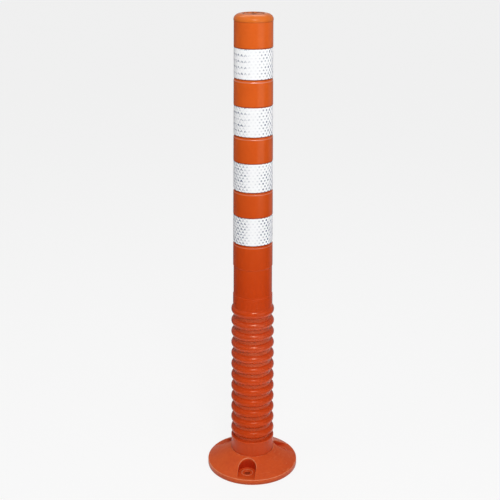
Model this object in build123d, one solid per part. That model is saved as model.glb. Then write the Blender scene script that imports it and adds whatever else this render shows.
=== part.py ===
from build123d import *
from math import atan, cos, radians, sin, tan
import os

# Flexible parking post: a base flange, a hollow ribbed post, a cap and reflective bands.
# The post stands on +Z from z = 0, its front faces -Y, and all sizes are in millimetres.

# Post moulding; the taper is the radius gained over each millimetre down
post_height = 1000.0
tube_top_radius = 38.8
tube_taper = 0.006
tube_wall = 5.5

# Ribbed part of the post, made of sections with one bending and one stiff rib each
section_count = 6
bellows_height = 312.7
rib_height = 18.5
rib_over_tube = 3.5
groove_under_tube = 3.2

# Collar below the ribs and the foot under the base
collar_top = 73.5
collar_over_tube = 2.6
collar_bead = 0.5
collar_bead_height = 5.0
collar_edge_round = 1.8
foot_ledge = 11.8
foot_thickness = 8.0

# Base flange
base_radius = 100.0
base_bottom_chamfer = 0.8
rim_height = 11.5
rim_round = 3.2
hub_height = 39.5
hub_land = 1.2
core_inner_wall = 4.7
core_rim_wall = 6.5
core_roof = 6.0
core_web_width = 5.0

# Anchor pockets in the base
anchor_count = 3
front_anchor_angle = -99.0
anchor_circle_radius = 71.0
anchor_hole_radius = 6.0
anchor_hole_chamfer = 1.2
pocket_radius = 19.4
pocket_floor_over_foot = 4.5
pocket_pad_wall = 5.0
bead_radius = 12.2
bead_half_width = 1.2

# Recesses round the tube; each but the lowest holds a band
recess_count = 5
recess_height = 63.8
recess_depth = 1.0
recess_step = 0.2
land_round_height = 2.0
top_land_height = 50.8
bottom_land_height = 28.1
band_thickness = 0.55

# Cap
cap_crown_height = 13.8
cap_overhang = 0.5
cap_shoulder_width = 14.0
cap_shoulder_height = 11.0
cap_rim_width = 2.8
cap_dish_depth = 1.5
cap_dimple_radius = 5.5
cap_dimple_depth = 1.2
cap_crown_thickness = 4.0
cap_seam_chamfer = 0.5
plug_length = 25.0
plug_wall = 3.0
plug_lead_in = 1.0

# Clearances
collar_clearance = 0.3
band_clearance = 0.15
band_top_clearance = 0.4
band_bottom_clearance = 4.8
plug_clearance = 0.15

# Heights that follow from the sizes above
tube_top = post_height - cap_crown_height
bellows_top = collar_top + bellows_height
section_height = bellows_height / section_count
groove_height = section_height / 2 - rib_height
fold_height = section_height - rib_height
pocket_floor = foot_thickness + pocket_floor_over_foot
lowest_recess_bottom = bellows_top + bottom_land_height
highest_recess_bottom = tube_top - top_land_height - recess_height
recess_pitch = (highest_recess_bottom - lowest_recess_bottom) / (recess_count - 1)
land_round_width = recess_depth - recess_step


def tube_radius(z):
    return tube_top_radius + tube_taper * (tube_top - z)


def bore_radius(z):
    return tube_radius(z) - tube_wall


def groove_radius(z):
    return tube_radius(z) - groove_under_tube


def crest_radius(z):
    return tube_radius(z) + rib_over_tube


def recess_radius(z):
    return tube_radius(z) - recess_depth


def fold_bottom(number):
    return collar_top + (number - 1) * section_height


def recess_bottom(number):
    return lowest_recess_bottom + (number - 1) * recess_pitch


# Radii and angles that follow from the sizes above
collar_radius = tube_radius(collar_top) + collar_over_tube
foot_radius = collar_radius + foot_ledge
base_bore_radius = collar_radius + collar_clearance
foot_seat_radius = foot_radius + collar_clearance
core_inner_radius = foot_seat_radius + core_inner_wall
core_outer_radius = base_radius - core_rim_wall
hub_radius = base_bore_radius + hub_land
cone_slope = (hub_height - rim_height) / (base_radius - hub_radius)
anchor_spacing = 360 / anchor_count
anchor_angles = [front_anchor_angle + anchor_spacing * n for n in range(anchor_count)]
cap_radius = tube_top_radius + cap_overhang
cap_rim_radius = cap_radius - cap_shoulder_width
cap_dish_radius = cap_rim_radius - cap_rim_width - cap_dish_depth
plug_radius = bore_radius(tube_top) - plug_clearance


def cone_height(radius):
    return rim_height + cone_slope * (base_radius - radius)


# Profiles are drawn as (radius, height) pairs in the upright plane through the axis and turned about it
def upright(point):
    return Vector(point[0], 0, point[1])


def straight(*points):
    return [Line(upright(a), upright(b)) for a, b in zip(points[:-1], points[1:])]


def rounded(start, centre, end):
    first = upright(start)
    hub = upright(centre)
    last = upright(end)
    outward = ((first + last) * 0.5 - hub).normalized()
    return [ThreePointArc(first, hub + outward * (first - hub).length, last)]


# The outer quarter of an oval, from its side up over its top
def oval_top(centre, width, height):
    return [Plane.XZ * EllipticalCenterArc(centre, width, height, start_angle=0, arc_size=90)]


# The outer quarter of an oval, from its bottom up to its side
def oval_bottom(centre, width, height):
    return [Plane.XZ * EllipticalCenterArc(centre, width, height, start_angle=-90, arc_size=90)]


def rib_arc(bottom, low_radius, high_radius):
    middle = bottom + rib_height / 2
    top = bottom + rib_height
    crest = (crest_radius(middle), middle)
    return [ThreePointArc(upright((low_radius, bottom)), upright(crest), upright((high_radius, top)))]


def turned(edges):
    return revolve(make_face(Wire(edges)), Axis.Z)


# The bending part of a section: a groove, a rib and another groove
def bellows_fold(number):
    bottom = fold_bottom(number)
    rib_bottom = bottom + groove_height
    rib_top = rib_bottom + rib_height
    top = bottom + fold_height
    edges = straight((groove_radius(bottom), bottom), (groove_radius(rib_bottom), rib_bottom))
    edges += rib_arc(rib_bottom, groove_radius(rib_bottom), groove_radius(rib_top))
    edges += straight(
        (groove_radius(rib_top), rib_top),
        (groove_radius(top), top),
        (bore_radius(top), top),
        (bore_radius(bottom), bottom),
        (groove_radius(bottom), bottom),
    )
    return turned(edges)


# The stiff rib between two folds
def bellows_ring(number):
    bottom = fold_bottom(number) + fold_height
    top = bottom + rib_height
    edges = rib_arc(bottom, groove_radius(bottom), groove_radius(top))
    edges += straight(
        (groove_radius(top), top),
        (bore_radius(top), top),
        (bore_radius(bottom), bottom),
        (groove_radius(bottom), bottom),
    )
    return turned(edges)


# The collar with a bead round its top and a foot that the base flange holds down
def foot_collar():
    top = collar_top
    bead_top_radius = collar_radius + collar_bead
    bead_bottom = top - collar_bead_height
    round_start = (bead_top_radius, top - collar_edge_round)
    round_centre = (bead_top_radius - collar_edge_round, top - collar_edge_round)
    round_end = (bead_top_radius - collar_edge_round, top)
    edges = straight(
        (bore_radius(top), top),
        (bore_radius(0), 0),
        (foot_radius, 0),
        (foot_radius, foot_thickness),
        (collar_radius, foot_thickness),
        (collar_radius, bead_bottom),
        (bead_top_radius, bead_bottom + collar_bead),
        round_start,
    )
    edges += rounded(round_start, round_centre, round_end)
    edges += straight(round_end, (bore_radius(top), top))
    return turned(edges)


# The tube with the uppermost rib at its bottom and the recesses for the bands
def post_tube():
    bottom = bellows_top - rib_height
    edges = rib_arc(bottom, groove_radius(bottom), tube_radius(bellows_top))
    reached = (tube_radius(bellows_top), bellows_top)
    for number in range(1, recess_count + 1):
        low = recess_bottom(number)
        high = low + recess_height
        land_low = low - land_round_height
        land_high = high + land_round_height
        low_edge = tube_radius(land_low) - land_round_width
        high_edge = tube_radius(land_high) - land_round_width
        edges += straight(reached, (tube_radius(land_low), land_low))
        edges += oval_top((low_edge, land_low), land_round_width, land_round_height)
        edges += straight((low_edge, low), (recess_radius(low), low), (recess_radius(high), high), (high_edge, high))
        edges += oval_bottom((high_edge, land_high), land_round_width, land_round_height)
        reached = (tube_radius(land_high), land_high)
    chamfer_bottom = tube_top - cap_seam_chamfer
    edges += straight(
        reached,
        (tube_radius(chamfer_bottom), chamfer_bottom),
        (tube_top_radius - cap_seam_chamfer, tube_top),
        (bore_radius(tube_top), tube_top),
        (bore_radius(bottom), bottom),
        (groove_radius(bottom), bottom),
    )
    return turned(edges)


# A band lying in the upper part of the recess one above its own number
def reflective_band(number):
    recess = recess_bottom(number + 1)
    bottom = recess + band_bottom_clearance
    top = recess + recess_height - band_top_clearance
    low_radius = recess_radius(bottom) + band_clearance
    high_radius = recess_radius(top) + band_clearance
    edges = straight(
        (low_radius, bottom),
        (low_radius + band_thickness, bottom),
        (high_radius + band_thickness, top),
        (high_radius, top),
        (low_radius, bottom),
    )
    return turned(edges)


# The cap with a dished crown on the end of the tube and a plug skirt in its bore
def top_cap():
    shoulder_bottom = post_height - cap_shoulder_height
    dish_floor = post_height - cap_dish_depth
    dimple_floor = dish_floor - cap_dimple_depth
    ceiling = dish_floor - cap_crown_thickness
    plug_bottom = tube_top - plug_length
    edges = straight(
        (plug_radius, tube_top),
        (cap_radius - cap_seam_chamfer, tube_top),
        (cap_radius, tube_top + cap_seam_chamfer),
        (cap_radius, shoulder_bottom),
    )
    edges += oval_top((cap_rim_radius, shoulder_bottom), cap_shoulder_width, cap_shoulder_height)
    edges += straight(
        (cap_rim_radius, post_height),
        (cap_dish_radius + cap_dish_depth, post_height),
        (cap_dish_radius, dish_floor),
        (cap_dimple_radius + cap_dimple_depth, dish_floor),
        (cap_dimple_radius, dimple_floor),
        (0, dimple_floor),
        (0, ceiling),
        (plug_radius - plug_wall, ceiling),
        (plug_radius - plug_wall, plug_bottom),
        (plug_radius - plug_lead_in, plug_bottom),
        (plug_radius, plug_bottom + plug_lead_in),
        (plug_radius, tube_top),
    )
    return turned(edges)


# A U-shaped prism round an anchor hole, open outwards
def pocket_prism(radius, bottom, top):
    height = top - bottom
    arch = Cylinder(radius, height, align=(Align.CENTER, Align.CENTER, Align.MIN))
    mouth = Box(base_radius, 2 * radius, height, align=(Align.MIN, Align.CENTER, Align.MIN))
    return Pos(anchor_circle_radius, 0, bottom) * (arch + mouth)


def at_anchors(shape):
    return [Rot(0, 0, angle) * shape for angle in anchor_angles]


# The coned base: bore and seat for the collar's foot, cored underside, pockets with beaded holes
def base_flange():
    cone_angle = atan(cone_slope)
    tangent = rim_round * tan((radians(90) - cone_angle) / 2)
    round_start = (base_radius, rim_height - tangent)
    round_centre = (base_radius - rim_round, rim_height - tangent)
    round_end = (base_radius - tangent * cos(cone_angle), rim_height + tangent * sin(cone_angle))
    edges = straight(
        (foot_seat_radius, foot_thickness),
        (foot_seat_radius, 0),
        (base_radius - base_bottom_chamfer, 0),
        (base_radius, base_bottom_chamfer),
        round_start,
    )
    edges += rounded(round_start, round_centre, round_end)
    edges += straight(
        round_end,
        (hub_radius, hub_height),
        (base_bore_radius, hub_height),
        (base_bore_radius, foot_thickness),
        (foot_seat_radius, foot_thickness),
    )
    body = turned(edges)

    core = turned(
        straight(
            (core_inner_radius, 0),
            (core_outer_radius, 0),
            (core_outer_radius, cone_height(core_outer_radius) - core_roof),
            (core_inner_radius, cone_height(core_inner_radius) - core_roof),
            (core_inner_radius, 0),
        )
    )
    pad = pocket_prism(pocket_radius + pocket_pad_wall, 0, hub_height)
    web = Box(base_radius, core_web_width, hub_height, align=(Align.MIN, Align.CENTER, Align.MIN))
    body -= core - at_anchors(pad) - at_anchors(Rot(0, 0, anchor_spacing / 2) * web)

    hole = Cylinder(anchor_hole_radius, pocket_floor, align=(Align.CENTER, Align.CENTER, Align.MIN))
    funnel = Cone(
        anchor_hole_radius,
        anchor_hole_radius + anchor_hole_chamfer,
        anchor_hole_chamfer,
        align=(Align.CENTER, Align.CENTER, Align.MAX),
    )
    drilling = Pos(anchor_circle_radius, 0, 0) * (hole + Pos(0, 0, pocket_floor) * funnel)
    body -= at_anchors(pocket_prism(pocket_radius, pocket_floor, hub_height))
    body -= at_anchors(drilling)
    bead = Torus(bead_radius, bead_half_width)
    body += at_anchors(Pos(anchor_circle_radius, 0, pocket_floor) * bead)
    return body


nodes = {
    "base_flange": base_flange(),
    "foot_collar": foot_collar(),
    "post_tube": post_tube(),
    "top_cap": top_cap(),
}
for section in range(1, section_count + 1):
    nodes[f"bellows_fold_{section}"] = bellows_fold(section)
for section in range(1, section_count):
    nodes[f"bellows_ring_{section}"] = bellows_ring(section)
for band in range(1, recess_count):
    nodes[f"reflective_band_{band}"] = reflective_band(band)

os.makedirs("parts", exist_ok=True)
for name, shape in nodes.items():
    export_step(shape, f"parts/{name}.step")
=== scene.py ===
import math
from functools import partialmethod
import bmesh
import bpy
import numpy as np
from mathutils import Matrix, Vector
from numpy.linalg import norm


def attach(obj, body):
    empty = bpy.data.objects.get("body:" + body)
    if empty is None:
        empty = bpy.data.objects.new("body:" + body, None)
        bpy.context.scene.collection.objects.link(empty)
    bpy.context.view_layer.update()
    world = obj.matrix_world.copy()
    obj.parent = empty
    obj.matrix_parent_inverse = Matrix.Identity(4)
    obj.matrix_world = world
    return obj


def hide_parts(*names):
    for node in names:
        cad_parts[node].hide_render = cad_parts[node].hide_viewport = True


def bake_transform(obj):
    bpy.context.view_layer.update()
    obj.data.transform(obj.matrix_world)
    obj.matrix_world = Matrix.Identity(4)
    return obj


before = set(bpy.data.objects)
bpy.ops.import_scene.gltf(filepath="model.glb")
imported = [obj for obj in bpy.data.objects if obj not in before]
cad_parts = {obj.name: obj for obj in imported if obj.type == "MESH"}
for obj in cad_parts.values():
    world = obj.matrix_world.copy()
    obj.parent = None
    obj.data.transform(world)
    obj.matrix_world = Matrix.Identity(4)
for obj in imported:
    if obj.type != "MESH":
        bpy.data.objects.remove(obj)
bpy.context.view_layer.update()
scene = bpy.context.scene
mm = 0.001
rising, falling = (0.0, 1.0), (1.0, 0.0)
lineCore = 0.3  # share of a painted line's half width that has its full strength
print("frame loaded with", len(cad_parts), "nodes")


# a dictionary whose values are read as sizes.name
class Sizes(dict):
    __getattr__ = dict.__getitem__


# sideSegments stands for the socket Side Segments
def spaced(name):
    return "".join(" " + c if c.isupper() else c for c in name).title()


# a node tree with short ways of adding to it
class Tree:
    def __init__(self, made):
        self.made = made

    def plug(self, socket, value):
        if isinstance(value, bpy.types.NodeSocket):
            self.made.links.new(value, socket)
        else:
            socket.default_value = value

    def plugAll(self, sockets, values):
        for socket, value in zip(sockets, values):
            self.plug(socket, value)

    def fill(self, sockets, values):
        for name, value in values.items():
            self.plug(sockets[name], value)

    def add(self, kind, settings=None, **inputs):
        node = self.made.nodes.new(kind)
        for name, value in (settings or {}).items():
            setattr(node, name, value)
        for name, value in inputs.items():
            self.plug(node.inputs[spaced(name)], value)
        return node

    def maths(self, operation, *values):
        node = self.add("ShaderNodeMath", {"operation": operation})
        self.plugAll(node.inputs, values)
        return node.outputs[0]

    def times(self, first, *others):
        for other in others:
            first = self.maths("MULTIPLY", first, other)
        return first

    timesPlus = partialmethod(maths, "MULTIPLY_ADD")
    plus = partialmethod(maths, "ADD")
    minus = partialmethod(maths, "SUBTRACT")
    over = partialmethod(maths, "DIVIDE")
    most = partialmethod(maths, "MAXIMUM")
    size = partialmethod(maths, "ABSOLUTE")
    above = partialmethod(maths, "GREATER_THAN")
    below = partialmethod(maths, "LESS_THAN")

    # takes a value from one range to another and holds it at the ends
    def ramp(self, value, limits, ends=rising, smooth=True):
        node = self.add("ShaderNodeMapRange", {"interpolation_type": "SMOOTHSTEP" if smooth else "LINEAR"})
        self.plugAll(node.inputs, (value, *limits, *ends))
        return node.outputs[0]

    def between(self, share, low, high):
        return self.ramp(share, rising, (low, high), False)

    # how far a value is past the last of even steps
    def since(self, value, first, step):
        return self.maths("WRAP", self.minus(value, first), step, 0.0)

    # 1 on a line and 0 past its half width
    def line(self, value, centre, half):
        return self.ramp(self.size(self.minus(value, centre)), (lineCore * half, half), falling)

    def within(self, value, limits):
        low, high = limits
        return self.times(self.above(value, low), self.below(value, high))

    def mix(self, factor, a, b):
        node = self.add("ShaderNodeMix", {"data_type": "RGBA"})
        self.plugAll((node.inputs[0], node.inputs[6], node.inputs[7]), (factor, a, b))
        return node.outputs[2]

    def noise(self, vector, scale, detail, roughness=0.5):
        node = self.add("ShaderNodeTexNoise", vector=vector, scale=scale, detail=detail,
                        roughness=roughness)
        return node.outputs["Fac"]

    def bump(self, height, distance, strength):
        return self.add("ShaderNodeBump", height=height, distance=distance, strength=strength).outputs[0]

    def split(self, vector):
        return self.add("ShaderNodeSeparateXYZ", vector=vector).outputs

    def join(self, x, y, z=0.0):
        return self.add("ShaderNodeCombineXYZ", x=x, y=y, z=z).outputs[0]

    def length(self, x, y):
        node = self.add("ShaderNodeVectorMath", {"operation": "LENGTH"}, vector=self.join(x, y))
        return node.outputs["Value"]


# a named tree with its sockets, which are listed by their kind
def newTree(name, kind, inputs, outputs):
    tree = Tree(bpy.data.node_groups.new(name, kind))
    for direction, sockets in (("INPUT", inputs), ("OUTPUT", outputs)):
        for form, names in sockets.items():
            for socket in names.split(", "):
                tree.made.interface.new_socket(socket, in_out=direction, socket_type="NodeSocket" + form)
    return tree, tree.add("NodeGroupInput").outputs, tree.add("NodeGroupOutput").inputs


# where a pattern lies: the object's coordinates, or the place kept in a piece's mesh
def objectPlace(tree):
    return tree.add("ShaderNodeTexCoord").outputs["Object"]


def keptPlace(tree):
    return tree.add("ShaderNodeAttribute", {"attribute_name": "keptPlace"}).outputs["Vector"]


# the moulded plastic's skin: slow mottling, fine grain and scuffs; a noise has scale, detail and roughness
skinPattern = Sizes(
    clouds=(16.0, 3.0, 0.55), cloudLimits=(0.32, 0.68), cloudShare=0.65,
    patches=(130.0, 4.0, 0.6), patchLimits=(0.3, 0.7), patchRoughness=0.6, patchHeight=0.5,
    grainDetail=2.0, strokes=(1.0, 5.0, 0.7), strokeStretch=(60.0, 60.0, 700.0),
    strokeTurn=(0.5, 0.35, 0.0), strokeLimits=(0.55, 0.67), wornLimits=(0.48, 0.66),
    scuffRoughness=0.15,
)


def mouldedSkinGroup():
    s = skinPattern
    tree, given, out = newTree("mouldedSkin", "ShaderNodeTree", {
        "Vector": "Place", "Color": "Colour, Deep Colour, Scuff Colour",
        "Float": "Mottle, Grain Scale, Scuff, Low Roughness, High Roughness",
    }, {"Color": "Colour", "Float": "Roughness, Height"})
    place = given["Place"]
    clouds = tree.noise(place, *s.clouds)
    grain = tree.noise(place, given["Grain Scale"], s.grainDetail)
    slow = tree.ramp(clouds, s.cloudLimits)
    quick = tree.ramp(tree.noise(place, *s.patches), s.patchLimits)
    shade = tree.timesPlus(slow, s.cloudShare, tree.times(quick, 1 - s.cloudShare))
    colour = tree.mix(tree.times(shade, given["Mottle"]), given["Colour"], given["Deep Colour"])

    # scuffs are thin strokes, longer across than up, that show only in patches
    stretched = tree.add("ShaderNodeMapping", vector=place, scale=s.strokeStretch, rotation=s.strokeTurn)
    strokes = tree.ramp(tree.noise(stretched.outputs[0], *s.strokes), s.strokeLimits)
    scuffed = tree.times(strokes, tree.ramp(clouds, s.wornLimits), given["Scuff"])
    tree.plug(out["Colour"], tree.mix(scuffed, colour, given["Scuff Colour"]))

    rough = tree.timesPlus(quick, s.patchRoughness, tree.times(grain, 1 - s.patchRoughness))
    rough = tree.between(rough, given["Low Roughness"], given["High Roughness"])
    tree.plug(out["Roughness"], tree.timesPlus(scuffed, s.scuffRoughness, rough))
    tree.plug(out["Height"], tree.timesPlus(quick, s.patchHeight, grain))
    return tree.made


# cells of the reflective sheet: dots on its right side, strokes that run into zigzags on its left;
# a side is -1 at the left edge and 1 at the right one, and heights are in metres
cellPattern = Sizes(
    strokedSide=(-0.45, 0.1), farSide=(0.55, 0.95), farLean=0.55, farLength=1.9,
    markEdge=(0.4, 1.4), rowHeights=(0.6, 0.92), rowShare=(0.8, 0.1), facing=(0.02, 0.75),
    facingShare=(0.15, 1.15), tint=(230.0, 1.0), tintLimits=(0.36, 0.64), tintShare=(0.3, 1.35),
    strengthHeights=(0.55, 0.92), strength=(0.84, 0.62),
)


def prismCellsGroup():
    s = cellPattern
    tree, given, out = newTree("prismCells", "ShaderNodeTree", {
        "Float": "Cells Round, Cell Height, Dot Width, Stroke Width, Mark Height, Zigzag, "
                 "First Band, Band Step",
    }, {"Float": "Marks, Tint"})
    place = objectPlace(tree)
    spot = tree.split(place)
    around = tree.maths("ARCTAN2", spot["X"], spot["Y"])
    along = tree.times(tree.over(around, 2 * math.pi), given["Cells Round"])
    up = tree.over(tree.since(spot["Z"], given["First Band"], given["Band Step"]), given["Cell Height"])
    side = tree.maths("SINE", around)
    away = tree.size(side)
    stroked = tree.ramp(side, s.strokedSide, falling)
    width = tree.between(stroked, given["Dot Width"], given["Stroke Width"])
    bend = tree.times(stroked, given["Zigzag"])

    # marks slant far out on both sides, and lengthen far out on the right
    lean = tree.times(tree.ramp(away, s.farSide, (0.0, s.farLean)), tree.maths("SIGN", side))
    markHeight = tree.times(given["Mark Height"], tree.ramp(side, s.farSide, (1.0, s.farLength)))

    def markAt(shift):
        across = tree.minus(tree.maths("FRACT", tree.plus(along, shift)), 0.5)
        upward = tree.minus(tree.maths("FRACT", tree.plus(up, shift)), 0.5)
        upward = tree.timesPlus(tree.size(across), bend, upward)
        upward = tree.timesPlus(across, lean, upward)
        wide, high = tree.over(across, width), tree.over(upward, markHeight)
        square = tree.plus(tree.times(wide, wide), tree.times(high, high))
        return tree.ramp(square, s.markEdge, falling)

    # every second row of strokes is faint, least so on the lower bands
    second = tree.most(tree.minus(1.0, stroked), tree.ramp(spot["Z"], s.rowHeights, s.rowShare))
    marks = tree.most(markAt(0.5), tree.times(markAt(0.0), second))
    tint = tree.noise(place, *s.tint)
    # marks fade where the sheet faces front and back: painted sheen of the prisms; a noise tint varies them
    # too
    sheenAndTint = tree.times(tree.ramp(away, s.facing, s.facingShare),
                       tree.ramp(tint, s.tintLimits, s.tintShare, False))
    strength = tree.ramp(spot["Z"], s.strengthHeights, s.strength)
    tree.plug(out["Marks"], tree.times(marks, tree.times(strength, sheenAndTint)))
    tree.plug(out["Tint"], tint)
    return tree.made


mouldedSkin = mouldedSkinGroup()
prismCells = prismCellsGroup()


def newMaterial(name):
    material = bpy.data.materials.new(name)
    material.use_nodes = True
    return material, Tree(material.node_tree), material.node_tree.nodes["Principled BSDF"].inputs


# a group in a material, given those of the values that its sockets name
def useGroup(tree, group, values):
    node = tree.add("ShaderNodeGroup", {"node_tree": group})
    for name, value in values.items():
        if spaced(name) in node.inputs:
            tree.plug(node.inputs[spaced(name)], value)
    return node.outputs


plasticFinish = Sizes(specular=0.45, glossTint=(1.0, 0.76, 0.54, 1), reliefStrength=0.6)


def mouldedPlastic(name, finish, light, gloss=None, placed=objectPlace, coat=None):
    material, tree, skin = newMaterial(name)
    place = placed(tree)
    made = useGroup(tree, mouldedSkin, dict(finish, place=place, colour=light(tree, finish, place)))
    tree.fill(skin, {
        "Base Color": made["Colour"], "Roughness": made["Roughness"],
        "Normal": tree.bump(made["Height"], finish.grainDepth, finish.reliefStrength),
        "Specular IOR Level": gloss(tree, finish, place) if gloss else finish.specular,
        "Specular Tint": finish.glossTint,
    })
    if coat:
        tree.fill(skin, {
            "Coat Weight": coat(tree, finish, place), "Coat IOR": finish.coatIor,
            "Coat Roughness": finish.coatRoughness,
        })
    return material


mergeDistance, sharpAngle = 2e-6, math.radians(50)


def newShape(name, inputs):
    return newTree(name, "GeometryNodeTree", inputs, {"Geometry": "Shape"})


# ends a shape's tree: real mesh, closed seams, sharp corners kept, finish
def closeShape(tree, out, geometry, finish):
    real = tree.add("GeometryNodeRealizeInstances", geometry=geometry)
    joined = tree.add("GeometryNodeMergeByDistance", geometry=real.outputs[0], distance=mergeDistance)
    angle = tree.add("GeometryNodeInputMeshEdgeAngle").outputs["Unsigned Angle"]
    soft = tree.add("GeometryNodeSetShadeSmooth", {"domain": "EDGE"}, geometry=joined.outputs[0],
                    shadeSmooth=tree.below(angle, sharpAngle))
    dressed = tree.add("GeometryNodeSetMaterial", geometry=soft.outputs[0], material=finish)
    tree.plug(out["Shape"], dressed.outputs[0])
    return tree.made


def position(tree):
    return tree.add("GeometryNodeInputPosition").outputs[0]


# an open pipe of radius 1, with each point's place and the number of its ring
def ringedPipe(tree, segments, rings):
    pipe = tree.add("GeometryNodeMeshCylinder", {"fill_type": "NONE"}, vertices=segments,
                    sideSegments=rings, radius=1.0, depth=rings)
    spot = tree.split(position(tree))
    ring = tree.maths("ROUND", tree.plus(spot["Z"], tree.times(rings, 0.5)))
    return pipe.outputs["Mesh"], spot, ring


def setPipe(tree, pipe, spot, radius, height):
    place = tree.join(tree.times(spot["X"], radius), tree.times(spot["Y"], radius), height)
    return tree.add("GeometryNodeSetPosition", geometry=pipe, position=place).outputs[0]


# a pipe with ribs at even steps, its wall and its ends, between two heights
def ribbedPipeTree():
    tree, given, out = newShape("ribbedPipe", {
        "Int": "Outer Rows, Inner Rows, Segments", "Material": "Finish",
        "Float": "Bottom, Top, Tube Radius At Zero, Taper, Wall, First Rib, Rib Step, Rib Rise, Rib Arc, "
                 "Groove Depth, Crease Softness",
    })
    outerRows, innerRows = given["Outer Rows"], given["Inner Rows"]
    rings = tree.plus(tree.plus(outerRows, innerRows), 2.0)
    pipe, spot, ring = ringedPipe(tree, given["Segments"], rings)
    ring = tree.maths("MODULO", ring, rings)  # the last ring closes on the first
    inside = tree.above(ring, tree.plus(outerRows, 0.5))
    innerCount = tree.minus(ring, tree.plus(outerRows, 1.0))
    innerShare = tree.minus(1.0, tree.over(innerCount, innerRows))
    share = tree.between(inside, tree.over(ring, outerRows), innerShare)
    height = tree.between(share, given["Bottom"], given["Top"])

    tube = tree.minus(given["Tube Radius At Zero"], tree.times(given["Taper"], height))
    halfStep = tree.times(given["Rib Step"], 0.5)
    fromRib = tree.plus(tree.minus(height, given["First Rib"]), halfStep)
    fromRib = tree.minus(tree.maths("WRAP", fromRib, given["Rib Step"], 0.0), halfStep)
    arc = given["Rib Arc"]
    left = tree.minus(tree.times(arc, arc), tree.times(fromRib, fromRib))
    bulge = tree.minus(tree.maths("SQRT", tree.most(left, 0.0)), arc)
    bulge = tree.plus(bulge, given["Rib Rise"])
    groove = tree.times(given["Groove Depth"], -1.0)
    relief = tree.maths("SMOOTH_MAX", groove, bulge, given["Crease Softness"])
    radius = tree.between(inside, tree.plus(tube, relief), tree.minus(tube, given["Wall"]))
    shaped = setPipe(tree, pipe, spot, radius, height)
    kept = tree.add("GeometryNodeStoreNamedAttribute", {"data_type": "FLOAT_VECTOR", "domain": "POINT"},
                    geometry=shaped, name="keptPlace", value=position(tree))
    return closeShape(tree, out, kept.outputs[0], given["Finish"])


# a profile of points turned about the axis; the object's own mesh holds the profile
def turnedShapeTree():
    tree, given, out = newShape("turnedShape", {
        "Geometry": "Profile", "Int": "Segments", "Material": "Finish",
    })
    count = tree.add("GeometryNodeAttributeDomainSize", geometry=given["Profile"]).outputs["Point Count"]
    pipe, spot, ring = ringedPipe(tree, given["Segments"], tree.minus(count, 1.0))
    sample = tree.add("GeometryNodeSampleIndex", {"data_type": "FLOAT_VECTOR", "domain": "POINT"},
                      geometry=given["Profile"], value=position(tree), index=ring)
    profile = tree.split(sample.outputs[0])
    shaped = setPipe(tree, pipe, spot, profile["X"], profile["Z"])
    return closeShape(tree, out, shaped, given["Finish"])


# one sector set round the axis
def roundAxisTree():
    tree, given, out = newShape("roundAxis", {
        "Geometry": "Sector", "Int": "Count", "Float": "First Angle", "Material": "Finish",
    })
    points = tree.add("GeometryNodePoints", count=given["Count"])
    step = tree.over(2 * math.pi, given["Count"])
    index = tree.add("GeometryNodeInputIndex").outputs[0]
    turn = tree.join(0.0, 0.0, tree.timesPlus(index, step, given["First Angle"]))
    spread = tree.add("GeometryNodeInstanceOnPoints", points=points.outputs[0], instance=given["Sector"],
                      rotation=turn)
    return closeShape(tree, out, spread.outputs[0], given["Finish"])


ribbedPipe = ribbedPipeTree()
turnedShape = turnedShapeTree()
roundAxis = roundAxisTree()
print("node groups made")


# runs a tree on a new object and leaves a plain mesh
def grow(name, tree, source=None, **values):
    piece = bpy.data.objects.new(name, source or bpy.data.meshes.new(name))
    scene.collection.objects.link(piece)
    modifier = piece.modifiers.new(tree.name, "NODES")
    modifier.node_group = tree
    sockets = {item.name: item.identifier for item in tree.interface.items_tree}
    for key, value in values.items():
        modifier[sockets[spaced(key)]] = value
    view = bpy.context.evaluated_depsgraph_get()
    made = bpy.data.meshes.new_from_object(piece.evaluated_get(view))
    piece.modifiers.remove(modifier)
    piece.data = made
    made.name = name
    return piece


# rows of a turned profile, in millimetres, and segments round the axis
profileRows = Sizes(turnLimit=math.radians(4), lookAhead=0.6, shortest=0.18, blurReach=3, segments=176)


# corners of a profile become soft: even steps, a light smoothing, then rows only where it turns
def softened(points, softness, step=0.1, longest=4.0):
    s = profileRows
    points = np.array(points, float)
    length = np.concatenate([[0], np.cumsum(norm(np.diff(points, axis=0), axis=1))])
    even = np.linspace(0, length[-1], int(length[-1] / step) + 1)
    path = np.column_stack([np.interp(even, length, points[:, k]) for k in (0, 1)])
    reach = int(s.blurReach * softness / step)
    weights = np.exp(-0.5 * (np.arange(-reach, reach + 1) * step / softness) ** 2)
    weights /= weights.sum()
    before = 2 * path[0] - path[reach:0:-1]
    after = 2 * path[-1] - path[-2:-reach - 2:-1]
    padded = np.vstack([before, path, after])
    path = np.column_stack([np.convolve(padded[:, k], weights, "valid") for k in (0, 1)])
    heading = np.unwrap(np.arctan2(*np.diff(path, axis=0).T[::-1]))
    kept = [0]
    for n in range(1, len(path) - 1):
        run = norm(path[n] - path[kept[-1]])
        ahead = min(n + int(s.lookAhead / step), len(heading) - 1)
        turning = abs(heading[ahead] - heading[max(kept[-1] - 1, 0)]) > s.turnLimit
        if run > longest or (turning and run > s.shortest):
            kept.append(n)
    return path[kept + [len(path) - 1]]


def turned(name, points, finish):
    profile = bpy.data.meshes.new(name)
    profile.from_pydata([(r * mm, 0, z * mm) for r, z in points], [], [])
    return grow(name, turnedShape, profile, segments=profileRows.segments, finish=finish)


def arcPoints(centre, radii, start, end, count=14):
    angles = np.radians(np.linspace(start, end, count))
    return [(centre[0] + radii[0] * math.cos(a), centre[1] + radii[1] * math.sin(a)) for a in angles]


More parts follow.
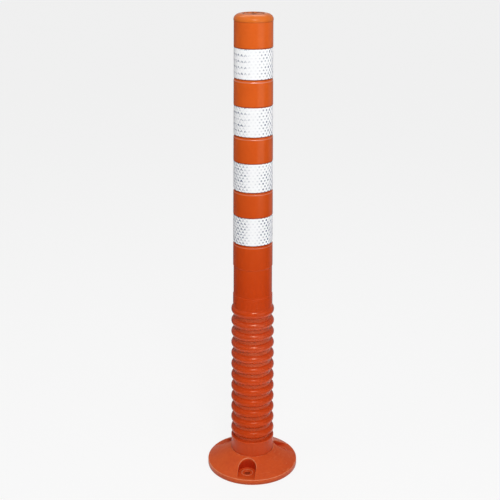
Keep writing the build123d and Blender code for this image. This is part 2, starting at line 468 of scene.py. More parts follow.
# the post's moulding and the recesses in its tube, in millimetres
postSizes = Sizes(
    topRadius=38.8, taper=0.006, tubeTop=986.2, wall=5.5,
    ribFoot=73.5, ribHeight=18.5, ribRise=3.5, grooveDepth=3.2, sections=6, ribPart=312.7,
    creaseSoftness=0.8, ribRows=26, grooveRows=14, innerRows=3,
    grooveShare=0.42,  # how much of a section's bend each groove takes
)
tubeSizes = Sizes(
    recesses=5, recessHeight=63.8, recessDepth=1.0, recessLip=0.2, landRound=2.0,
    topLand=50.8, bottomLand=28.1, seamChamfer=0.5, softness=0.25, crestRows=40, innerRows=12,
)
sectionHeight = postSizes.ribPart / postSizes.sections
ribStep = sectionHeight / 2
grooveHeight = ribStep - postSizes.ribHeight
foldHeight = sectionHeight - postSizes.ribHeight
firstRib = postSizes.ribFoot + grooveHeight + postSizes.ribHeight / 2
ribSag = postSizes.ribRise + postSizes.grooveDepth
ribArc = ((postSizes.ribHeight / 2) ** 2 + ribSag ** 2) / (2 * ribSag)
ribTop = postSizes.ribFoot + postSizes.ribPart
lowestRecess = ribTop + tubeSizes.bottomLand
highestRecess = postSizes.tubeTop - tubeSizes.topLand - tubeSizes.recessHeight
recessBottoms = np.linspace(lowestRecess, highestRecess, tubeSizes.recesses)
recessStep = (highestRecess - lowestRecess) / (tubeSizes.recesses - 1)


def tubeRadius(z):
    return postSizes.topRadius + postSizes.taper * (postSizes.tubeTop - z)


def boreRadius(z):
    return tubeRadius(z) - postSizes.wall


# a line has its centre and half width, in metres, from a recess's foot except at the seam
postFinish = Sizes(
    **plasticFinish, lightTop=(0.783, 0.141, 0.0184, 1), lightFoot=(0.573, 0.0515, 0.0047, 1),
    fade=(0.42, 0.98), deepColour=(0.473, 0.041, 0.0032, 1), scuffColour=(0.777, 0.252, 0.105, 1),
    mottle=0.25, grainScale=1500.0, grainDepth=0.00005, scuff=0.12,
    lowRoughness=0.22, highRoughness=0.3, glossFade=(0.16, 0.37), ribSpecular=(0.27, 0.72),
    firstRecess=lowestRecess * mm, recessStep=recessStep * mm, bandsFrom=0.5,
    lineBelow=(0.0036, 0.0015), lineAbove=(0.0645, 0.0012), lineDirt=0.9,
    seam=(postSizes.tubeTop * mm, 0.0014), seamDirt=0.4, dirt=(0.2, 0.022, 0.004, 1),
    wornEdge=(0.1132, 0.0013), wornPart=(0.45, 0.95), wear=0.4,
    polish=(0.35, 1.0), polishFade=(0.55, 0.9), coatIor=2.6, coatRoughness=0.28,
    firstRib=firstRib * mm, ribStep=ribStep * mm, grooveFrom=(0.0083, 0.0098),
    ribPart=(0.0736, 0.386), dust=(0.368, 0.164, 0.081, 1), dustAmount=0.14,
)
# the collar's foot colour is lighter than the post's: it takes less of the painted shade at the foot
collarFinish = Sizes(
    postFinish, lightFoot=(0.604, 0.0594, 0.0067, 1), deepColour=(0.483, 0.0431, 0.0032, 1),
    lowRoughness=0.3, highRoughness=0.4,
)
tubeFinish = Sizes(postFinish, lowRoughness=0.14, highRoughness=0.21)


# the upper edges of the tube's lands, rubbed smooth, where a pale line of wear and painted highlight lies
def landEdge(tree, s, place):
    height = tree.split(place)["Z"]
    fromRecess = tree.since(height, s.firstRecess, s.recessStep)
    return tree.times(tree.line(fromRecess, *s.wornEdge), tree.within(height, s.wornPart))


# polish on those edges, less on the lower ones
def landCoat(tree, s, place):
    polish = tree.ramp(tree.split(place)["Z"], s.polishFade, s.polish)
    return tree.times(landEdge(tree, s, place), polish)


# the ribs get duller towards the ground
def ribGloss(tree, s, place):
    return tree.ramp(tree.split(place)["Z"], s.glossFade, s.ribSpecular)


# the post is painted lighter and yellower towards its top and darker towards its foot, a painted shade of
# the light falling off down the post; painted shade also lies in dark lines at the ends of its bands and in
# the seam under the cap; a pale line of wear and painted highlight runs on its lands' upper edges, and its
# grooves are paler with dust and a painted reflection
def postColour(tree, s, place):
    height = tree.split(place)["Z"]
    # painted shade: darker and redder towards the foot
    colour = tree.mix(tree.ramp(height, s.fade, smooth=False), s.lightFoot, s.lightTop)
    # painted shade: dark lines under the lands' lower edges, in the gaps below the bands and in the seam
    # under the cap
    fromRecess = tree.since(height, s.firstRecess, s.recessStep)
    lines = tree.most(tree.line(fromRecess, *s.lineBelow), tree.line(fromRecess, *s.lineAbove))
    banded = tree.above(height, s.bandsFrom)
    seam = tree.times(tree.line(height, *s.seam), s.seamDirt)
    colour = tree.mix(tree.most(tree.times(lines, s.lineDirt, banded), seam), colour, s.dirt)
    # a pale line on the lands' upper edges: wear and painted highlight
    colour = tree.mix(tree.times(landEdge(tree, s, place), s.wear), colour, s.scuffColour)
    # the grooves are paler: dust and painted reflection
    half = s.ribStep / 2
    fromRib = tree.size(tree.minus(tree.since(height, s.firstRib - half, s.ribStep), half))
    groove = tree.ramp(fromRib, s.grooveFrom, (0.0, s.dustAmount))
    return tree.mix(tree.times(groove, tree.within(height, s.ribPart)), colour, s.dust)


postOrange = mouldedPlastic("postOrange", postFinish, postColour, ribGloss, keptPlace)
collarOrange = mouldedPlastic("collarOrange", collarFinish, postColour)
tubeOrange = mouldedPlastic("tubeOrange", tubeFinish, postColour, coat=landCoat)


def ribbedPiece(name, bottom, top, rows):
    s = postSizes
    return grow(
        name, ribbedPipe, bottom=bottom * mm, top=top * mm, outerRows=rows, innerRows=s.innerRows,
        segments=profileRows.segments, tubeRadiusAtZero=tubeRadius(0) * mm, taper=s.taper, wall=s.wall * mm,
        firstRib=firstRib * mm, ribStep=ribStep * mm, ribRise=s.ribRise * mm, ribArc=ribArc * mm,
        grooveDepth=s.grooveDepth * mm, creaseSoftness=s.creaseSoftness * mm, finish=postOrange,
    )


bodies = ["base"] + ["section_%d" % n for n in range(1, postSizes.sections)] + ["post"]
# where a smoothstep from 0 to 1 reaches the groove's share
grooveEase = 0.5 - math.sin(math.asin(1 - 2 * postSizes.grooveShare) / 3)
for n in range(1, postSizes.sections + 1):
    bottom = postSizes.ribFoot + (n - 1) * sectionHeight
    ribBottom, ribHead, top = bottom + grooveHeight, bottom + foldHeight - grooveHeight, bottom + foldHeight
    reach = grooveHeight / grooveEase
    ribReach = postSizes.ribHeight / (1 - 2 * grooveEase) / 2
    middle = (ribBottom + ribHead) / 2
    parts = (
        ("lowerGroove", bottom, ribBottom, postSizes.grooveRows, bottom, bottom + reach),
        ("rib", ribBottom, ribHead, postSizes.ribRows, middle - ribReach, middle + ribReach),
        ("upperGroove", ribHead, top, postSizes.grooveRows, top - reach, top),
    )
    for part, low, high, rows, start, end in parts:
        piece = ribbedPiece("fold%d.%s" % (n, part), low, high, rows)
        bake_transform(piece)
        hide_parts("bellows_fold_%d" % n)
    if n < postSizes.sections:
        ring = ribbedPiece("ring%d" % n, top, top + postSizes.ribHeight, postSizes.ribRows)
        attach(ring, bodies[n])
        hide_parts("bellows_ring_%d" % n)
print("ribbed foot made")

collarSizes = Sizes(
    overTube=2.6, bead=0.5, beadHeight=5.0, edgeRound=1.8,
    footLedge=11.8, footThickness=8.0, softness=0.3,
)
collarRadius = tubeRadius(postSizes.ribFoot) + collarSizes.overTube


def footCollar():
    s = collarSizes
    top = postSizes.ribFoot
    bead, foot = collarRadius + s.bead, collarRadius + s.footLedge
    points = [(boreRadius(0), 0), (foot, 0), (foot, s.footThickness), (collarRadius, s.footThickness),
              (collarRadius, top - s.beadHeight), (bead, top - s.beadHeight + s.bead)]
    points += arcPoints((bead - s.edgeRound, top - s.edgeRound), (s.edgeRound, s.edgeRound), 0, 90)
    points += [(tubeRadius(top) - postSizes.grooveDepth, top), (boreRadius(top), top), (boreRadius(0), 0)]
    return turned("footCollar", softened(points, s.softness), collarOrange)


collar = footCollar()
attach(collar, "base")
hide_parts("foot_collar")


# circle through three points, given as its centre and radius
def circleThrough(*points):
    points = np.array(points)
    x, y, rest = np.linalg.solve(np.column_stack([2 * points, np.ones(3)]), (points ** 2).sum(axis=1))
    return (x, y), math.sqrt(rest + x * x + y * y)


# the highest rib starts where the ribs' smooth maximum does, a sixth of its softness above the groove
def highestRib():
    s = postSizes
    bottom = ribTop - s.ribHeight
    middle = bottom + s.ribHeight / 2
    start = (tubeRadius(bottom) - s.grooveDepth + s.creaseSoftness / 6, bottom)
    crest = (tubeRadius(middle) + s.ribRise, middle)
    end = (tubeRadius(ribTop), ribTop)
    centre, radius = circleThrough(start, crest, end)
    first, last = (math.degrees(math.atan2(p[1] - centre[1], p[0] - centre[0])) for p in (start, end))
    return arcPoints(centre, (radius, radius), first, last, tubeSizes.crestRows)


def postTube():
    s = tubeSizes
    points = highestRib()
    bottom, top = ribTop - postSizes.ribHeight, postSizes.tubeTop
    edge = s.recessDepth - s.recessLip
    for low in recessBottoms:
        high = low + s.recessHeight
        lowCorner, highCorner = low - s.landRound, high + s.landRound
        points += arcPoints((tubeRadius(lowCorner) - edge, lowCorner), (edge, s.landRound), 0, 90)
        points += [(tubeRadius(z) - s.recessDepth, z) for z in (low, high)]
        points += arcPoints((tubeRadius(highCorner) - edge, highCorner), (edge, s.landRound), -90, 0)
    points += [(tubeRadius(top), top - s.seamChamfer), (tubeRadius(top) - s.seamChamfer, top)]
    outer = softened(points, s.softness)
    inner = [(boreRadius(z), z) for z in np.linspace(top, bottom, s.innerRows)]
    return turned("postTube", np.vstack([outer, inner, outer[:1]]), tubeOrange)


tube = postTube()
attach(tube, "post")
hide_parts("post_tube")

bandSizes = Sizes(
    clearance=0.15, above=0.4, below=4.8, thickness=0.55, softness=0.12, rowStep=0.05, longestRow=6.0,
)
sheetFinish = Sizes(
    white=(0.93, 0.935, 0.94, 1), markShade=(0.025, 0.045, 0.15, 1),
    cellsRound=30.0, cellHeight=0.0119, dotWidth=0.25, strokeWidth=0.42, markHeight=0.155,
    zigzag=0.6, firstBand=(lowestRecess + bandSizes.below) * mm, bandStep=recessStep * mm,
    tintLimits=(0.3, 0.7), roughness=(0.25, 0.36), prismDepth=0.0001, reliefStrength=0.35,
    scatter=1.0, specular=0.3, coat=0.12, coatRoughness=0.12,
)


def reflectiveSheet(name, finish):
    material, tree, skin = newMaterial(name)
    cells = useGroup(tree, prismCells, finish)
    tree.fill(skin, {
        "Base Color": tree.mix(cells["Marks"], finish.white, finish.markShade),
        "Roughness": tree.ramp(cells["Tint"], finish.tintLimits, finish.roughness, False),
        "Normal": tree.bump(cells["Marks"], finish.prismDepth, finish.reliefStrength),
        "Diffuse Roughness": finish.scatter, "Specular IOR Level": finish.specular,
        "Coat Weight": finish.coat, "Coat Roughness": finish.coatRoughness,
    })
    return material


sheetWhite = reflectiveSheet("sheetWhite", sheetFinish)


def reflectiveBand(name, recessBottom):
    s = bandSizes
    low = recessBottom + s.below
    high = recessBottom + tubeSizes.recessHeight - s.above
    lowInner, highInner = (tubeRadius(z) - tubeSizes.recessDepth + s.clearance for z in (low, high))
    middle = ((lowInner + highInner) / 2, (low + high) / 2)  # the seam of the profile lies inside
    points = [middle, (lowInner, low), (lowInner + s.thickness, low),
              (highInner + s.thickness, high), (highInner, high), middle]
    rows = softened(points, s.softness, s.rowStep, s.longestRow)
    return turned(name, rows, sheetWhite)


for n, low in enumerate(recessBottoms[1:], 1):
    band = reflectiveBand("band%d" % n, low)
    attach(band, "post")
    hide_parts("reflective_band_%d" % n)
print("tube and bands made")

capSizes = Sizes(
    top=1000.0, overhang=0.5, shoulder=(14.0, 11.0), rimWidth=2.8, dishDepth=1.5,
    dimpleRadius=5.5, dimpleDepth=1.2, crownThickness=4.0, seamChamfer=0.5, plugLength=25.0,
    plugWall=3.0, plugLeadIn=1.0, plugClearance=0.15, shoulderRows=24, softness=0.3,
)
capFinish = Sizes(
    **plasticFinish, light=(0.725, 0.165, 0.0205, 1), deepColour=(0.63, 0.122, 0.0142, 1),
    scuffColour=(0.84, 0.315, 0.147, 1), mottle=0.3, grainScale=1500.0, grainDepth=0.00005,
    scuff=0.18, lowRoughness=0.15, highRoughness=0.23, topFrom=0.9945,
    dishLine=(0.0205, 0.0026), dimple=(0.0066, 0.0085), dirt=(0.045, 0.005, 0.001, 1),
    dirtAmount=0.92, rimLine=(0.0252, 0.0026), rimWear=0.85, worn=(0.998, 0.525, 0.294, 1),
    streaks=(110.0, 2.0), streakLimits=(0.37, 0.53), streakShare=0.3,
)


# broken dark marks in the corner of the cap's dish and in its dimple are dirt and painted shade, and the
# rim round the dish is paler with wear and a painted highlight
def capColour(tree, s, place):
    spot = tree.split(place)
    radius = tree.length(spot["X"], spot["Y"])
    onTop = tree.above(spot["Z"], s.topFrom)
    streaks = tree.noise(place, *s.streaks)
    brokenDark = tree.ramp(streaks, s.streakLimits, (s.streakShare, 1.0))
    brokenPale = tree.ramp(streaks, s.streakLimits, (1.0, s.streakShare))
    low = tree.most(tree.line(radius, *s.dishLine), tree.ramp(radius, s.dimple, falling))
    raised = tree.times(tree.line(radius, *s.rimLine), onTop, brokenPale, s.rimWear)
    colour = tree.mix(raised, s.light, s.worn)
    return tree.mix(tree.times(low, brokenDark, onTop, s.dirtAmount), colour, s.dirt)


capOrange = mouldedPlastic("capOrange", capFinish, capColour)


def topCap():
    s = capSizes
    seam, top = postSizes.tubeTop, s.top
    radius = postSizes.topRadius + s.overhang
    plugRadius = boreRadius(seam) - s.plugClearance
    dishFloor = top - s.dishDepth
    dimpleFloor = dishFloor - s.dimpleDepth
    rim = radius - s.shoulder[0]
    dish = rim - s.rimWidth - s.dishDepth
    ceiling = dishFloor - s.crownThickness
    plugFoot = seam - s.plugLength
    points = [(0, ceiling), (plugRadius - s.plugWall, ceiling), (plugRadius - s.plugWall, plugFoot),
              (plugRadius - s.plugLeadIn, plugFoot), (plugRadius, plugFoot + s.plugLeadIn),
              (plugRadius, seam), (radius - s.seamChamfer, seam), (radius, seam + s.seamChamfer)]
    points += arcPoints((rim, top - s.shoulder[1]), s.shoulder, 0, 90, s.shoulderRows)
    points += [(dish + s.dishDepth, top), (dish, dishFloor),
               (s.dimpleRadius + s.dimpleDepth, dishFloor), (s.dimpleRadius, dimpleFloor),
               (0, dimpleFloor)]
    return turned("topCap", softened(points, s.softness), capOrange)


cap = topCap()
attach(cap, "post")
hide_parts("top_cap")
print("cap made")

# the base flange, one sector round an anchor hole set three times round the axis, in millimetres
baseSizes = Sizes(
    radius=100.0, rimHeight=11.5, rimRound=3.2, bottomChamfer=0.8, hubHeight=39.5,
    hubLand=1.2, hubRound=0.6, collarClearance=0.3,
    anchors=3, frontAngle=-99.0, anchorCircle=71.0, hole=6.0, holeChamfer=1.2,
    pocket=19.4, pocketFloor=12.5, bead=12.2, beadHalf=1.2, floorRound=1.2, edgeRound=0.9,
    padWall=5.0, coreWall=4.7, coreOuter=93.5, coreRoof=6.0, webHalf=2.5,
)
# where its rows of faces lie: counts, shares of a stretch, degrees of a corner, or millimetres
baseRows = Sizes(
    rim=120, hub=60, side=24, cone=10, conePower=1.6, hole=(0, 3), roundShare=0.45,
    floor=(0.35, 0.7, 0.92, 1.0), corner=(18, 36, 54, 72, 90), wall=(0.06, 0.35, 0.65, 0.94, 1.0),
    edge=(0.2, 0.4, 0.6, 0.8, 1.0), bead=11, beadMargin=0.6, mouthIn=0.1, mouthOut=0.3,
    mouthDrop=0.12, rimArc=9, rimSide=4.5, chamferStart=0.2, chamferIn=0.1,
    chamferShare=0.6, hubEdge=((0.2, -0.18), (-0.25, -0.02)),
    boreEdge=((0.45, 0), (0.12, -0.12), (0, -0.45), (0, -1.0)), chamberRows=13, chamberSteps=15,
)
baseBore = round(collarRadius + baseSizes.collarClearance, 3)  # to the micrometre
baseSeat = round(baseBore + collarSizes.footLedge, 3)
hubRadius = baseBore + baseSizes.hubLand
coneSlope = (baseSizes.hubHeight - baseSizes.rimHeight) / (baseSizes.radius - hubRadius)
tiny = 1e-9

# heights, radii and distances in metres
baseFinish = Sizes(
    **plasticFinish, light=(0.704, 0.102, 0.0163, 1), deepColour=(0.546, 0.0441, 0.0058, 1),
    scuffColour=(0.777, 0.252, 0.105, 1), mottle=0.6, grainScale=1200.0, grainDepth=0.00007,
    scuff=0.42, lowRoughness=0.34, highRoughness=0.5,
    pocket=(0.473, 0.0189, 0.0019, 1), pocketDepth=(0.0012, 0.006), pocketMouth=(0.0955, 0.0975),
    pocketFloor=(0.0128, 0.0145), floorShare=0.3, hole=(0.005, 0.0068),
    dirt=(0.09, 0.006, 0.001, 1), groundDirt=(0.002, 0.0095), dirtAmount=0.5,
    groundColour=(0.24, 0.05, 0.02, 1), worn=(0.893, 0.347, 0.179, 1),
    bead=(baseSizes.bead * mm, 0.0013), beadTop=(0.0125, 0.0132), beadWear=0.65,
    arch=(0.0199, 0.0011), archWear=0.8, edgeFrom=(0.00004, 0.00025), edgeTo=(0.0006, 0.0012),
    wear=0.9, lowEdge=(0.0126, 0.0134), lowWear=0.15, rimFrom=(0.0976, 0.0985),
)


# the base is deeper in colour on its pockets' walls and dark in its holes, both painted shade; it is darker
# towards the ground, and paler with wear and painted highlights along its pockets' edges, arches and beads
def baseColour(tree, s, place):
    spot = tree.split(place)
    radius = tree.length(spot["X"], spot["Y"])
    fromRim = tree.minus(baseSizes.radius * mm, radius)
    depth = tree.minus(tree.timesPlus(fromRim, coneSlope, baseSizes.rimHeight * mm), spot["Z"])

    # distance from the nearest anchor's axis
    sector = 2 * math.pi / baseSizes.anchors
    start = math.radians(baseSizes.frontAngle) - sector / 2
    turn = tree.minus(tree.since(tree.maths("ARCTAN2", spot["Y"], spot["X"]), start, sector), sector / 2)
    away = tree.minus(tree.times(radius, tree.maths("COSINE", turn)), baseSizes.anchorCircle * mm)
    fromAnchor = tree.length(away, tree.times(radius, tree.maths("SINE", turn)))

    # painted shade: deeper colour in the pockets, less on their floors
    inPocket = tree.times(tree.ramp(depth, s.pocketDepth), tree.ramp(radius, s.pocketMouth, falling))
    onWall = tree.ramp(spot["Z"], s.pocketFloor, (s.floorShare, 1.0))
    colour = tree.mix(tree.times(inPocket, onWall), s.light, s.pocket)
    # the bead round each hole is paler: wear and painted highlight
    onBead = tree.ramp(spot["Z"], s.beadTop, (0.0, s.beadWear))
    onBead = tree.times(tree.line(fromAnchor, *s.bead), onBead, inPocket)
    colour = tree.mix(onBead, colour, s.worn)
    # painted shade: dark in the holes
    colour = tree.mix(tree.ramp(fromAnchor, s.hole, falling), colour, s.dirt)
    # darker towards the ground
    atGround = tree.ramp(spot["Z"], s.groundDirt, (s.dirtAmount, 0.0))
    colour = tree.mix(atGround, colour, s.groundColour)

    # pale wear and painted highlights along the pockets' edges, less on their low ends, and round their
    # arches
    nearTop = tree.ramp(depth, s.edgeTo, falling)
    onEdge = tree.times(tree.ramp(depth, s.edgeFrom, (0.0, s.wear)), nearTop)
    offFloor = tree.ramp(spot["Z"], s.lowEdge, (s.lowWear, 1.0))
    onEdge = tree.times(onEdge, tree.most(offFloor, tree.ramp(radius, s.rimFrom)))
    onArch = tree.times(tree.line(fromAnchor, *s.arch), tree.below(away, 0.0))
    onArch = tree.times(onArch, nearTop, s.archWear)
    return tree.mix(tree.most(onEdge, onArch), colour, s.worn)


baseOrange = mouldedPlastic("baseOrange", baseFinish, baseColour)


def polar(radius, angle):
    return radius * math.cos(angle), radius * math.sin(angle)


# the sector's mesh, made of rows of points that are bridged with faces
class BaseSector:
    def __init__(self, sizes, rows):
        self.s = sizes
        self.rows = rows
        self.mesh = bmesh.new()
        self.mouth = sizes.radius - (sizes.pocketFloor - sizes.rimHeight) / coneSlope
        self.centre = np.array([sizes.anchorCircle, 0.0])
        self.half = math.pi / sizes.anchors
        tilt = math.atan(coneSlope)
        tangent = sizes.rimRound * math.tan((math.pi / 2 - tilt) / 2)
        self.rimTop = sizes.radius - tangent * math.cos(tilt)
        self.rimCentre = (sizes.radius - sizes.rimRound, sizes.rimHeight - tangent)
        self.rimStart = 90 - math.degrees(tilt)

    def cone(self, radius):
        return self.s.rimHeight + coneSlope * (self.s.radius - radius)

    def row(self, plan, heights):
        heights = np.broadcast_to(heights, len(plan))
        return [self.mesh.verts.new((x * mm, y * mm, z * mm)) for (x, y), z in zip(plan, heights)]

    def bridge(self, inner, outer, closed):
        count = len(inner)
        for k in range(count if closed else count - 1):
            after = (k + 1) % count
            self.mesh.faces.new((inner[k], outer[k], outer[after], inner[after]))

    # the sector's edge: rim arc, side, hub arc, side
    def border(self, outer, inner):
        rows, half = self.rows, self.half
        rim = [(outer, a) for a in np.linspace(-half, half, rows.rim + 1)]
        side = np.linspace(outer, inner, rows.side + 1)[1:-1]
        hub = [(inner, a) for a in np.linspace(half, -half, rows.hub + 1)]
        loop = rim + [(r, half) for r in side] + hub + [(r, -half) for r in side[::-1]]
        return np.array([polar(r, a) for r, a in loop])

    # where the pocket's outline lies towards each point of the border, and which way it faces
    def outline(self, border):
        s = self.s
        places, normals = [], []
        for point in border:
            ray = point - self.centre
            ray = ray / norm(ray)
            reach, normal = s.pocket, ray
            if ray[0] > 0:
                side = s.pocket / max(abs(ray[1]), tiny)
                across = s.anchorCircle * ray[1]
                mouth = math.sqrt(self.mouth ** 2 - across ** 2) - s.anchorCircle * ray[0]
                reach = min(side, mouth)
                edge = self.centre + mouth * ray
                sideways = np.array([0, math.copysign(1, ray[1])])
                normal = sideways if side < mouth else edge / norm(edge)
            places.append(self.centre + reach * ray)
            normals.append(normal)
        return np.array(places), np.array(normals)

    # radii and heights of the hole, its chamfered mouth, and the bead on the pocket's floor
    def holePath(self):
        s, rows = self.s, self.rows
        floor, hole, chamfer = s.pocketFloor, s.hole, s.holeChamfer
        path = [(hole, z) for z in (*rows.hole, floor - chamfer - rows.mouthOut)]
        path += [(hole + rows.mouthIn, floor - chamfer),
                 (hole + chamfer - rows.mouthIn, floor - rows.mouthDrop),
                 (hole + chamfer + rows.mouthOut, floor)]
        margin = s.beadHalf + rows.beadMargin
        bead = arcPoints((s.bead, floor), (s.beadHalf, s.beadHalf), 180, 0, rows.bead)
        return path + [(s.bead - margin, floor)] + bead + [(s.bead + margin, floor)]

    def topRows(self, border):
        s = self.s
        floor = s.pocketFloor
        place, normal = self.outline(border)
        rays = border - self.centre
        rays = rays / norm(rays, axis=1)[:, None]
        rim = self.cone(norm(place, axis=1))
        room = self.rows.roundShare * np.maximum(rim - floor, 0)
        low, high = np.minimum(s.floorRound, room), np.minimum(s.edgeRound, room)
        rows = [(self.centre + r * rays, z) for r, z in self.holePath()]
        start = rows[-1][0]
        foot = place - low[:, None] * normal
        rows += [(start + f * (foot - start), floor) for f in self.rows.floor]
        for a in np.radians(self.rows.corner):
            rows.append((foot + (low * math.sin(a))[:, None] * normal, floor + low * (1 - math.cos(a))))
        wallFoot, wallHead = floor + low, rim - high
        rows += [(place, wallFoot + f * (wallHead - wallFoot)) for f in self.rows.wall]
        over = place + high[:, None] * normal
        overHeight = self.cone(norm(over, axis=1))
        for t in self.rows.edge:
            plan = (1 - t * t) * place + t * t * over
            rows.append((plan, (1 - t) ** 2 * wallHead + 2 * t * (1 - t) * rim + t * t * overHeight))
        for f in np.linspace(0, 1, self.rows.cone + 1)[1:] ** self.rows.conePower:
            plan = over + f * (border - over)
            rows.append((plan, self.cone(norm(plan, axis=1))))
        made = [self.row(plan, height) for plan, height in rows]
        for inner, outer in zip(made[:-1], made[1:]):
            self.bridge(inner, outer, True)
        return made[-1]

    # rings carried on from part of the border
    def rings(self, start, profile):
        angles = [math.atan2(v.co.y, v.co.x) for v in start]
        last = start
        for r, z in profile:
            ring = self.row([polar(r, a) for a in angles], z)
            self.bridge(last, ring, False)
            last = ring

    def padAngle(self, radius):
        s = self.s
        pad, circle = s.pocket + s.padWall, s.anchorCircle
        if radius ** 2 - pad ** 2 >= circle ** 2:
            return math.asin(pad / radius)
        return math.acos((radius ** 2 + circle ** 2 - pad ** 2) / (2 * circle) / radius)

    # hollow in the underside between a pad and the web at the sector's side
    def chamber(self, sign):
        s = self.s
        grid = []
        for radius in np.linspace(baseSeat + s.coreWall, s.coreOuter, self.rows.chamberRows):
            web = self.half - math.asin(s.webHalf / radius)
            turns = np.linspace(self.padAngle(radius), web, self.rows.chamberSteps) * sign
            plan = [polar(radius, a) for a in turns]
            grid.append(self.row(plan, self.cone(radius) - s.coreRoof))
        for inner, outer in zip(grid[:-1], grid[1:]):
            for k in range(len(inner) - 1):
                quad = (inner[k], inner[k + 1], outer[k + 1], outer[k])
                self.mesh.faces.new(quad if sign > 0 else quad[::-1])
        loop = grid[0] + [r[-1] for r in grid[1:-1]] + grid[-1][::-1] + [r[0] for r in grid[-2:0:-1]]
        foot = [self.mesh.verts.new((v.co.x, v.co.y, 0)) for v in loop]
        first, second = (loop, foot) if sign > 0 else (foot, loop)
        self.bridge(first, second, True)

    def underside(self):
        flat = [e for e in self.mesh.edges if e.is_boundary and all(abs(v.co.z) < tiny for v in e.verts)]
        ends = {}
        for edge in flat:
            for vert in edge.verts:
                ends.setdefault(vert, []).append(edge)
        loose = sorted((v for v, edges in ends.items() if len(edges) == 1), key=lambda v: (v.co.y, v.co.x))
        flat += [self.mesh.edges.new(loose[:2]), self.mesh.edges.new(loose[2:])]
        bmesh.ops.triangle_fill(self.mesh, edges=flat, use_beauty=True, use_dissolve=False,
                                normal=(0, 0, -1))

    def build(self):
        s, rows = self.s, self.rows
        loop = self.topRows(self.border(self.rimTop, hubRadius + s.hubRound))
        radius, chamfer = s.radius, s.bottomChamfer
        rim = arcPoints(self.rimCentre, (s.rimRound,) * 2, self.rimStart, 0, rows.rimArc)[1:]
        rim += [(radius, rows.rimSide), (radius, chamfer + rows.chamferStart),
                (radius - rows.chamferIn, chamfer * rows.chamferShare), (radius - chamfer, 0)]
        self.rings(loop[:rows.rim + 1], rim)
        top, depth = s.hubHeight, collarSizes.footThickness
        hub = [(hubRadius + r, top + z) for r, z in rows.hubEdge]
        hub += [(baseBore + r, top + z) for r, z in rows.boreEdge]
        hub += [(baseBore, depth), (baseSeat, depth), (baseSeat, 0)]
        first = rows.rim + rows.side
        self.rings(loop[first:first + rows.hub + 1], hub)
        self.chamber(1)
        self.chamber(-1)
        self.underside()
        bmesh.ops.recalc_face_normals(self.mesh, faces=self.mesh.faces[:])
        made = bpy.data.meshes.new("baseSector")
        self.mesh.to_mesh(made)
        self.mesh.free()
        return made


flange = grow("baseFlange", roundAxis, BaseSector(baseSizes, baseRows).build(), count=baseSizes.anchors,
              firstAngle=math.radians(baseSizes.frontAngle), finish=baseOrange)
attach(flange, "base")
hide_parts("base_flange")
print("base made,", len(flange.data.polygons), "faces")

# floor and backdrop: the camera sees them pale, and gloss sees them bright near the post and dim elsewhere
studio = Sizes(
    white=(1, 1, 1, 1), floorHalf=40.0, floorDrop=0.0003, floorColour=(0.9, 0.9, 0.9, 1),
    clouds=(3.0, 2.0), cloudLimits=(0.3, 0.7), cloudShare=(0.0, 0.06),
    cloudColour=(0.8, 0.8, 0.8, 1), floorShare=0.86, floorSeen=0.98, glossReach=(0.4, 1.1),
    floorInGloss=(0.9, 0.02), behindReach=(0.1, 0.8), behindInGloss=0.35,
    leftReach=(-0.5, -0.08), leftInGloss=0.45, fill=0.202, backdrop=0.885,
    horizonReach=(-0.3, 0.5), frontInGloss=0.35, zenithReach=(0.15, 0.8), zenithInGloss=0.3,
)


def makeFloor():
    s = studio
    half, drop = s.floorHalf, -s.floorDrop
    mesh = bpy.data.meshes.new("floor")
    corners = ((-half, -half), (half, -half), (half, half), (-half, half))
    mesh.from_pydata([(x, y, drop) for x, y in corners], [], [(0, 1, 2, 3)])
    floor = bpy.data.objects.new("floor", mesh)
    scene.collection.objects.link(floor)
    material, tree, _ = newMaterial("paleFloor")
    tree.made.nodes.clear()
    place = objectPlace(tree)
    clouds = tree.ramp(tree.noise(place, *s.clouds), s.cloudLimits, s.cloudShare, False)
    matt = tree.add("ShaderNodeBsdfDiffuse", color=tree.mix(clouds, s.floorColour, s.cloudColour))
    rays = tree.add("ShaderNodeLightPath").outputs
    spot = tree.split(place)
    near = tree.ramp(tree.length(spot["X"], spot["Y"]), s.glossReach, s.floorInGloss)
    behind = tree.ramp(spot["Y"], s.behindReach, (0.0, s.behindInGloss))
    left = tree.ramp(spot["X"], s.leftReach, (s.leftInGloss, 1.0))
    inGloss = tree.times(tree.most(near, behind), left)
    level = tree.between(rays["Is Glossy Ray"], s.floorSeen, inGloss)
    glow = tree.add("ShaderNodeEmission", color=s.white, strength=level)
    seen = tree.most(rays["Is Camera Ray"], rays["Is Transmission Ray"])
    share = tree.most(tree.times(seen, s.floorShare), rays["Is Glossy Ray"])
    both = tree.add("ShaderNodeMixShader")
    tree.plugAll(both.inputs, (share, matt.outputs[0], glow.outputs[0]))
    tree.plug(tree.add("ShaderNodeOutputMaterial").inputs["Surface"], both.outputs[0])
    mesh.materials.append(material)


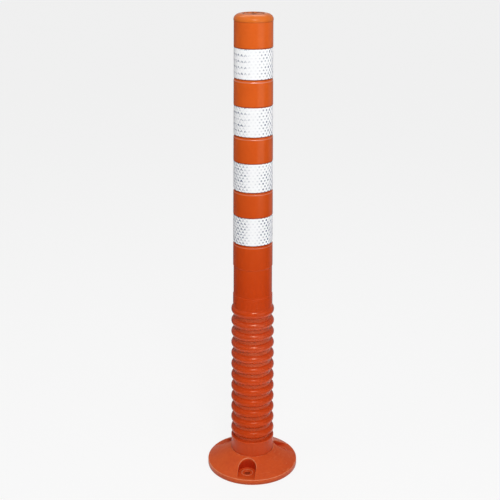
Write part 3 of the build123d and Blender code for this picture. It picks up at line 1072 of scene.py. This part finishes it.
def makeWorld():
    s = studio
    world = bpy.data.worlds.new("studio")
    world.use_nodes = True
    tree = Tree(world.node_tree)
    rays = tree.add("ShaderNodeLightPath").outputs
    seen = tree.most(rays["Is Camera Ray"], rays["Is Transmission Ray"])
    way = tree.split(tree.add("ShaderNodeTexCoord").outputs["Generated"])
    horizon = tree.ramp(way["Y"], s.horizonReach, (s.frontInGloss, s.behindInGloss))
    inGloss = tree.ramp(way["Z"], s.zenithReach, (horizon, s.zenithInGloss), False)
    level = tree.between(rays["Is Glossy Ray"], s.fill, inGloss)
    background = world.node_tree.nodes["Background"].inputs
    tree.fill(background, {"Color": s.white, "Strength": tree.between(seen, level, s.backdrop)})
    scene.world = world


# place, what it is aimed at, width, height, power, spread in degrees and whether gloss shows it
lamps = {
    "key": ((0.27, -1.98, 2.1), (0.0, 0.0, 0.55), 0.9, 0.3, 28.1, 180, True),
    "above": ((0.55, -1.0, 2.3), (0.0, 0.0, 0.4), 1.4, 1.4, 10.2, 180, False),
    "left": ((-1.35, -0.7, 1.7), (0.0, 0.0, 0.8), 1.0, 1.0, 5.5, 180, False),
    "side": ((1.45, -1.45, 0.55), (0.0, 0.0, 0.45), 1.4, 1.4, 5.6, 180, True),
    "back": ((-0.2, 1.1, 2.6), (0.0, 0.0, 0.8), 2.0, 0.5, 11.4, 180, True),
    "low": ((0.05, -0.4, 0.02), (0.0, 0.0, 0.3), 0.6, 0.12, 0.105, 60, False),
}


def makeLamp(name, place, aim, width, height, power, spread, inGloss):
    light = bpy.data.lights.new(name, "AREA")
    light.shape = "RECTANGLE"
    light.size = width
    light.size_y = height
    light.energy = power
    light.spread = math.radians(spread)
    lamp = bpy.data.objects.new(name, light)
    lamp.location = place
    lamp.rotation_euler = (Vector(aim) - Vector(place)).to_track_quat("-Z", "Y").to_euler()
    lamp.visible_glossy = inGloss
    scene.collection.objects.link(lamp)


cameraSizes = Sizes(
    place=(-0.00607, -2.0, 1.23213), pitch=19.84, roll=0.119, lens=72.622, sensor=36.0,
    clipEnd=200,
)


def makeCamera():
    s = cameraSizes
    lens = bpy.data.cameras.new("camera")
    lens.lens = s.lens
    lens.sensor_width = s.sensor
    lens.clip_end = s.clipEnd
    camera = bpy.data.objects.new("camera", lens)
    tilt = Matrix.Rotation(math.radians(90 - s.pitch), 4, "X")
    roll = Matrix.Rotation(math.radians(s.roll), 4, "Z")
    camera.matrix_world = Matrix.Translation(s.place) @ tilt @ roll
    scene.collection.objects.link(camera)
    scene.camera = camera


makeFloor()
makeWorld()
for name, values in lamps.items():
    makeLamp(name, *values)
makeCamera()
scene.view_settings.view_transform = "Standard"
print("stage, light and camera made")
